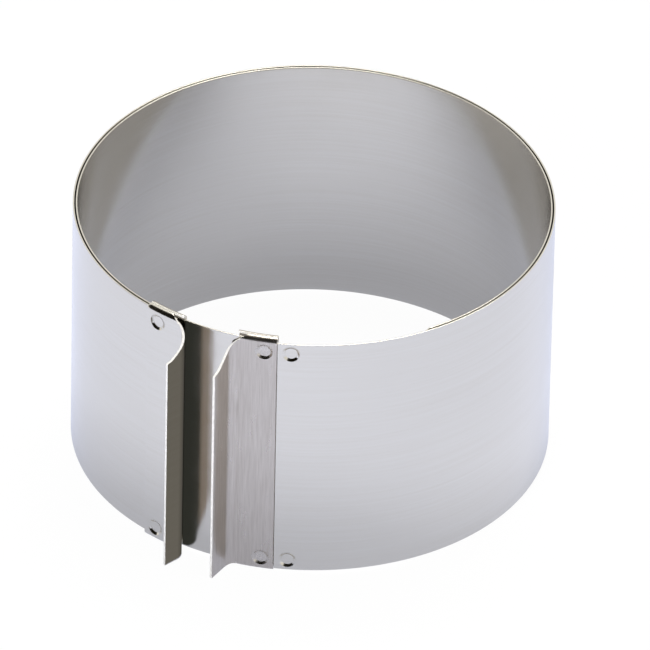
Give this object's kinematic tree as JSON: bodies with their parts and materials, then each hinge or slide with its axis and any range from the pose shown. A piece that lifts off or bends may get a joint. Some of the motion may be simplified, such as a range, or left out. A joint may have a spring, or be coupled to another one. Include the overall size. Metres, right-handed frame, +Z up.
{
  "type": "adjustable cake ring",
  "caption": "Adjustable round cake ring of spring steel: two bands that slide one in the other, with upright grips to set its width.",
  "frame": {"origin": "on the floor, under the middle of the ring and its grips", "axes": "+Z up along the ring's axis, the grips at -Y, +X to the right as seen from the grips' side"},
  "size_m": [0.1584, 0.1684, 0.0934],
  "materials": {
    "outer_band": "bright rolled stainless steel, satin",
    "inner_band": "bright rolled stainless steel, satin",
    "right_grip_plate": "stainless steel, brushed upright",
    "left_grip_plate": "stainless steel, brushed upright",
    "rivets": "stainless steel, bright"
  },
  "bodies": {
    "right_grip_side": {"right_grip_plate": "right_grip_plate", "inner_band_01": "inner_band", "outer_band_01": "outer_band", "right_rivet_top": "rivets", "right_rivet_bottom": "rivets", "seam_rivet_top": "rivets", "seam_rivet_bottom": "rivets"},
    "outer_leaf_02": {"outer_band_02": "outer_band"},
    "outer_leaf_03": {"outer_band_03": "outer_band"},
    "outer_leaf_04": {"outer_band_04": "outer_band"},
    "outer_leaf_05": {"outer_band_05": "outer_band"},
    "outer_leaf_06": {"outer_band_06": "outer_band"},
    "outer_leaf_07": {"outer_band_07": "outer_band"},
    "outer_leaf_08": {"outer_band_08": "outer_band"},
    "outer_leaf_09": {"outer_band_09": "outer_band"},
    "outer_leaf_10": {"outer_band_10": "outer_band"},
    "outer_leaf_11": {"outer_band_11": "outer_band"},
    "outer_leaf_12": {"outer_band_12": "outer_band"},
    "outer_leaf_13": {"outer_band_13": "outer_band"},
    "outer_leaf_14": {"outer_band_14": "outer_band"},
    "outer_leaf_15": {"outer_band_15": "outer_band"},
    "outer_leaf_16": {"outer_band_16": "outer_band"},
    "outer_leaf_17": {"outer_band_17": "outer_band"},
    "outer_leaf_18": {"outer_band_18": "outer_band"},
    "outer_leaf_19": {"outer_band_19": "outer_band"},
    "outer_leaf_20": {"outer_band_20": "outer_band"},
    "outer_leaf_21": {"outer_band_21": "outer_band"},
    "left_grip_side": {"outer_band_22": "outer_band", "left_grip_plate": "left_grip_plate", "left_rivet_top": "rivets", "left_rivet_bottom": "rivets"},
    "inner_leaf_02": {"inner_band_02": "inner_band"},
    "inner_leaf_03": {"inner_band_03": "inner_band"},
    "inner_leaf_04": {"inner_band_04": "inner_band"},
    "inner_leaf_05": {"inner_band_05": "inner_band"},
    "inner_leaf_06": {"inner_band_06": "inner_band"},
    "inner_leaf_07": {"inner_band_07": "inner_band"},
    "inner_leaf_08": {"inner_band_08": "inner_band"},
    "inner_leaf_09": {"inner_band_09": "inner_band"},
    "inner_leaf_10": {"inner_band_10": "inner_band"},
    "inner_leaf_11": {"inner_band_11": "inner_band"},
    "inner_leaf_12": {"inner_band_12": "inner_band"},
    "inner_leaf_13": {"inner_band_13": "inner_band"},
    "inner_leaf_14": {"inner_band_14": "inner_band"},
    "inner_leaf_15": {"inner_band_15": "inner_band"},
    "inner_leaf_16": {"inner_band_16": "inner_band"},
    "inner_leaf_17": {"inner_band_17": "inner_band"},
    "inner_leaf_18": {"inner_band_18": "inner_band"},
    "inner_leaf_19": {"inner_band_19": "inner_band"},
    "inner_leaf_20": {"inner_band_20": "inner_band"},
    "inner_leaf_21": {"inner_band_21": "inner_band"},
    "inner_leaf_22": {"inner_band_22": "inner_band"}
  },
  "joints": [
    {"name": "ring_opening", "type": "hinge", "parent": "right_grip_side", "child": "outer_leaf_02", "pos_m": [0.04223, -0.06189, 0.0467], "axis": [0, 0, -1], "range_deg": [-0.51, 8.93]},
    {"name": "outer_flex_03", "type": "hinge", "parent": "outer_leaf_02", "child": "outer_leaf_03", "pos_m": [0.05825, -0.04848, 0.0467], "axis": [0, 0, -1], "range_deg": [-0.44, 6.8]},
    {"name": "outer_flex_04", "type": "hinge", "parent": "outer_leaf_03", "child": "outer_leaf_04", "pos_m": [0.0702, -0.03135, 0.0467], "axis": [0, 0, -1], "range_deg": [-0.44, 6.8]},
    {"name": "outer_flex_05", "type": "hinge", "parent": "outer_leaf_04", "child": "outer_leaf_05", "pos_m": [0.07724, -0.01169, 0.0467], "axis": [0, 0, -1], "range_deg": [-0.44, 6.8]},
    {"name": "outer_flex_06", "type": "hinge", "parent": "outer_leaf_05", "child": "outer_leaf_06", "pos_m": [0.07889, 0.00913, 0.0467], "axis": [0, 0, -1], "range_deg": [-0.44, 6.8]},
    {"name": "outer_flex_07", "type": "hinge", "parent": "outer_leaf_06", "child": "outer_leaf_07", "pos_m": [0.07501, 0.02966, 0.0467], "axis": [0, 0, -1], "range_deg": [-0.44, 6.8]},
    {"name": "outer_flex_08", "type": "hinge", "parent": "outer_leaf_07", "child": "outer_leaf_08", "pos_m": [0.0659, 0.04845, 0.0467], "axis": [0, 0, -1], "range_deg": [-0.44, 6.8]},
    {"name": "outer_flex_09", "type": "hinge", "parent": "outer_leaf_08", "child": "outer_leaf_09", "pos_m": [0.05217, 0.0642, 0.0467], "axis": [0, 0, -1], "range_deg": [-0.44, 6.8]},
    {"name": "outer_flex_10", "type": "hinge", "parent": "outer_leaf_09", "child": "outer_leaf_10", "pos_m": [0.03481, 0.0758, 0.0467], "axis": [0, 0, -1], "range_deg": [-0.44, 6.8]},
    {"name": "outer_flex_11", "type": "hinge", "parent": "outer_leaf_10", "child": "outer_leaf_11", "pos_m": [0.015, 0.08244, 0.0467], "axis": [0, 0, -1], "range_deg": [-0.44, 6.8]},
    {"name": "outer_flex_12", "type": "hinge", "parent": "outer_leaf_11", "child": "outer_leaf_12", "pos_m": [-0.00585, 0.08366, 0.0467], "axis": [0, 0, -1], "range_deg": [-0.44, 6.8]},
    {"name": "outer_flex_13", "type": "hinge", "parent": "outer_leaf_12", "child": "outer_leaf_13", "pos_m": [-0.02629, 0.07938, 0.0467], "axis": [0, 0, -1], "range_deg": [-0.44, 6.8]},
    {"name": "outer_flex_14", "type": "hinge", "parent": "outer_leaf_13", "child": "outer_leaf_14", "pos_m": [-0.0449, 0.06988, 0.0467], "axis": [0, 0, -1], "range_deg": [-0.44, 6.8]},
    {"name": "outer_flex_15", "type": "hinge", "parent": "outer_leaf_14", "child": "outer_leaf_15", "pos_m": [-0.06036, 0.05584, 0.0467], "axis": [0, 0, -1], "range_deg": [-0.44, 6.8]},
    {"name": "outer_flex_16", "type": "hinge", "parent": "outer_leaf_15", "child": "outer_leaf_16", "pos_m": [-0.07161, 0.03824, 0.0467], "axis": [0, 0, -1], "range_deg": [-0.44, 6.8]},
    {"name": "outer_flex_17", "type": "hinge", "parent": "outer_leaf_16", "child": "outer_leaf_17", "pos_m": [-0.07785, 0.01831, 0.0467], "axis": [0, 0, -1], "range_deg": [-0.44, 6.8]},
    {"name": "outer_flex_18", "type": "hinge", "parent": "outer_leaf_17", "child": "outer_leaf_18", "pos_m": [-0.07865, -0.00256, 0.0467], "axis": [0, 0, -1], "range_deg": [-0.44, 6.8]},
    {"name": "outer_flex_19", "type": "hinge", "parent": "outer_leaf_18", "child": "outer_leaf_19", "pos_m": [-0.07395, -0.02291, 0.0467], "axis": [0, 0, -1], "range_deg": [-0.44, 6.8]},
    {"name": "outer_flex_20", "type": "hinge", "parent": "outer_leaf_19", "child": "outer_leaf_20", "pos_m": [-0.06408, -0.04132, 0.0467], "axis": [0, 0, -1], "range_deg": [-0.44, 6.8]},
    {"name": "outer_flex_21", "type": "hinge", "parent": "outer_leaf_20", "child": "outer_leaf_21", "pos_m": [-0.04973, -0.0565, 0.0467], "axis": [0, 0, -1], "range_deg": [-0.44, 6.8]},
    {"name": "outer_flex_22", "type": "hinge", "parent": "outer_leaf_21", "child": "left_grip_side", "pos_m": [-0.03191, -0.06739, 0.0467], "axis": [0, 0, -1], "range_deg": [-0.44, 6.8]},
    {"name": "inner_flex_02", "type": "hinge", "parent": "right_grip_side", "child": "inner_leaf_02", "pos_m": [0.01004, -0.07247, 0.0467], "axis": [0, 0, 1], "range_deg": [-0.56, 9.06]},
    {"name": "inner_flex_03", "type": "hinge", "parent": "inner_leaf_02", "child": "inner_leaf_03", "pos_m": [-0.01056, -0.0724, 0.0467], "axis": [0, 0, 1], "range_deg": [-0.44, 6.84]},
    {"name": "inner_flex_04", "type": "hinge", "parent": "inner_leaf_03", "child": "inner_leaf_04", "pos_m": [-0.03042, -0.06694, 0.0467], "axis": [0, 0, 1], "range_deg": [-0.44, 6.84]},
    {"name": "inner_flex_05", "type": "hinge", "parent": "inner_leaf_04", "child": "inner_leaf_05", "pos_m": [-0.04817, -0.05647, 0.0467], "axis": [0, 0, 1], "range_deg": [-0.44, 6.84]},
    {"name": "inner_flex_06", "type": "hinge", "parent": "inner_leaf_05", "child": "inner_leaf_06", "pos_m": [-0.06255, -0.04172, 0.0467], "axis": [0, 0, 1], "range_deg": [-0.44, 6.84]},
    {"name": "inner_flex_07", "type": "hinge", "parent": "inner_leaf_06", "child": "inner_leaf_07", "pos_m": [-0.07257, -0.02372, 0.0467], "axis": [0, 0, 1], "range_deg": [-0.44, 6.84]},
    {"name": "inner_flex_08", "type": "hinge", "parent": "inner_leaf_07", "child": "inner_leaf_08", "pos_m": [-0.07752, -0.00372, 0.0467], "axis": [0, 0, 1], "range_deg": [-0.44, 6.84]},
    {"name": "inner_flex_09", "type": "hinge", "parent": "inner_leaf_08", "child": "inner_leaf_09", "pos_m": [-0.07707, 0.01687, 0.0467], "axis": [0, 0, 1], "range_deg": [-0.44, 6.84]},
    {"name": "inner_flex_10", "type": "hinge", "parent": "inner_leaf_09", "child": "inner_leaf_10", "pos_m": [-0.07124, 0.03663, 0.0467], "axis": [0, 0, 1], "range_deg": [-0.44, 6.84]},
    {"name": "inner_flex_11", "type": "hinge", "parent": "inner_leaf_10", "child": "inner_leaf_11", "pos_m": [-0.06045, 0.05418, 0.0467], "axis": [0, 0, 1], "range_deg": [-0.44, 6.84]},
    {"name": "inner_flex_12", "type": "hinge", "parent": "inner_leaf_11", "child": "inner_leaf_12", "pos_m": [-0.04543, 0.06828, 0.0467], "axis": [0, 0, 1], "range_deg": [-0.44, 6.84]},
    {"name": "inner_flex_13", "type": "hinge", "parent": "inner_leaf_12", "child": "inner_leaf_13", "pos_m": [-0.02725, 0.07797, 0.0467], "axis": [0, 0, 1], "range_deg": [-0.44, 6.84]},
    {"name": "inner_flex_14", "type": "hinge", "parent": "inner_leaf_13", "child": "inner_leaf_14", "pos_m": [-0.00716, 0.08255, 0.0467], "axis": [0, 0, 1], "range_deg": [-0.44, 6.84]},
    {"name": "inner_flex_15", "type": "hinge", "parent": "inner_leaf_14", "child": "inner_leaf_15", "pos_m": [0.01342, 0.08172, 0.0467], "axis": [0, 0, 1], "range_deg": [-0.44, 6.84]},
    {"name": "inner_flex_16", "type": "hinge", "parent": "inner_leaf_15", "child": "inner_leaf_16", "pos_m": [0.03307, 0.07552, 0.0467], "axis": [0, 0, 1], "range_deg": [-0.44, 6.84]},
    {"name": "inner_flex_17", "type": "hinge", "parent": "inner_leaf_16", "child": "inner_leaf_17", "pos_m": [0.05041, 0.0644, 0.0467], "axis": [0, 0, 1], "range_deg": [-0.44, 6.84]},
    {"name": "inner_flex_18", "type": "hinge", "parent": "inner_leaf_17", "child": "inner_leaf_18", "pos_m": [0.06424, 0.04912, 0.0467], "axis": [0, 0, 1], "range_deg": [-0.44, 6.84]},
    {"name": "inner_flex_19", "type": "hinge", "parent": "inner_leaf_18", "child": "inner_leaf_19", "pos_m": [0.07358, 0.03076, 0.0467], "axis": [0, 0, 1], "range_deg": [-0.44, 6.84]},
    {"name": "inner_flex_20", "type": "hinge", "parent": "inner_leaf_19", "child": "inner_leaf_20", "pos_m": [0.07779, 0.0106, 0.0467], "axis": [0, 0, 1], "range_deg": [-0.44, 6.84]},
    {"name": "inner_flex_21", "type": "hinge", "parent": "inner_leaf_20", "child": "inner_leaf_21", "pos_m": [0.07657, -0.00997, 0.0467], "axis": [0, 0, 1], "range_deg": [-0.44, 6.84]},
    {"name": "inner_flex_22", "type": "hinge", "parent": "inner_leaf_21", "child": "inner_leaf_22", "pos_m": [0.07002, -0.0295, 0.0467], "axis": [0, 0, 1], "range_deg": [-0.44, 6.84]}
  ],
  "couplings": [
    {"joint": "outer_flex_03", "follows": "ring_opening", "ratio": 0.75622},
    {"joint": "outer_flex_04", "follows": "ring_opening", "ratio": 0.75622},
    {"joint": "outer_flex_05", "follows": "ring_opening", "ratio": 0.75622},
    {"joint": "outer_flex_06", "follows": "ring_opening", "ratio": 0.75622},
    {"joint": "outer_flex_07", "follows": "ring_opening", "ratio": 0.75622},
    {"joint": "outer_flex_08", "follows": "ring_opening", "ratio": 0.75622},
    {"joint": "outer_flex_09", "follows": "ring_opening", "ratio": 0.75622},
    {"joint": "outer_flex_10", "follows": "ring_opening", "ratio": 0.75622},
    {"joint": "outer_flex_11", "follows": "ring_opening", "ratio": 0.75622},
    {"joint": "outer_flex_12", "follows": "ring_opening", "ratio": 0.75622},
    {"joint": "outer_flex_13", "follows": "ring_opening", "ratio": 0.75622},
    {"joint": "outer_flex_14", "follows": "ring_opening", "ratio": 0.75622},
    {"joint": "outer_flex_15", "follows": "ring_opening", "ratio": 0.75622},
    {"joint": "outer_flex_16", "follows": "ring_opening", "ratio": 0.75622},
    {"joint": "outer_flex_17", "follows": "ring_opening", "ratio": 0.75622},
    {"joint": "outer_flex_18", "follows": "ring_opening", "ratio": 0.75622},
    {"joint": "outer_flex_19", "follows": "ring_opening", "ratio": 0.75622},
    {"joint": "outer_flex_20", "follows": "ring_opening", "ratio": 0.75622},
    {"joint": "outer_flex_21", "follows": "ring_opening", "ratio": 0.75622},
    {"joint": "outer_flex_22", "follows": "ring_opening", "ratio": 0.75622},
    {"joint": "inner_flex_02", "follows": "ring_opening", "ratio": 1.0085},
    {"joint": "inner_flex_03", "follows": "ring_opening", "ratio": 0.76079},
    {"joint": "inner_flex_04", "follows": "ring_opening", "ratio": 0.76079},
    {"joint": "inner_flex_05", "follows": "ring_opening", "ratio": 0.76079},
    {"joint": "inner_flex_06", "follows": "ring_opening", "ratio": 0.76079},
    {"joint": "inner_flex_07", "follows": "ring_opening", "ratio": 0.76079},
    {"joint": "inner_flex_08", "follows": "ring_opening", "ratio": 0.76079},
    {"joint": "inner_flex_09", "follows": "ring_opening", "ratio": 0.76079},
    {"joint": "inner_flex_10", "follows": "ring_opening", "ratio": 0.76079},
    {"joint": "inner_flex_11", "follows": "ring_opening", "ratio": 0.76079},
    {"joint": "inner_flex_12", "follows": "ring_opening", "ratio": 0.76079},
    {"joint": "inner_flex_13", "follows": "ring_opening", "ratio": 0.76079},
    {"joint": "inner_flex_14", "follows": "ring_opening", "ratio": 0.76079},
    {"joint": "inner_flex_15", "follows": "ring_opening", "ratio": 0.76079},
    {"joint": "inner_flex_16", "follows": "ring_opening", "ratio": 0.76079},
    {"joint": "inner_flex_17", "follows": "ring_opening", "ratio": 0.76079},
    {"joint": "inner_flex_18", "follows": "ring_opening", "ratio": 0.76079},
    {"joint": "inner_flex_19", "follows": "ring_opening", "ratio": 0.76079},
    {"joint": "inner_flex_20", "follows": "ring_opening", "ratio": 0.76079},
    {"joint": "inner_flex_21", "follows": "ring_opening", "ratio": 0.76079},
    {"joint": "inner_flex_22", "follows": "ring_opening", "ratio": 0.76079}
  ]
}
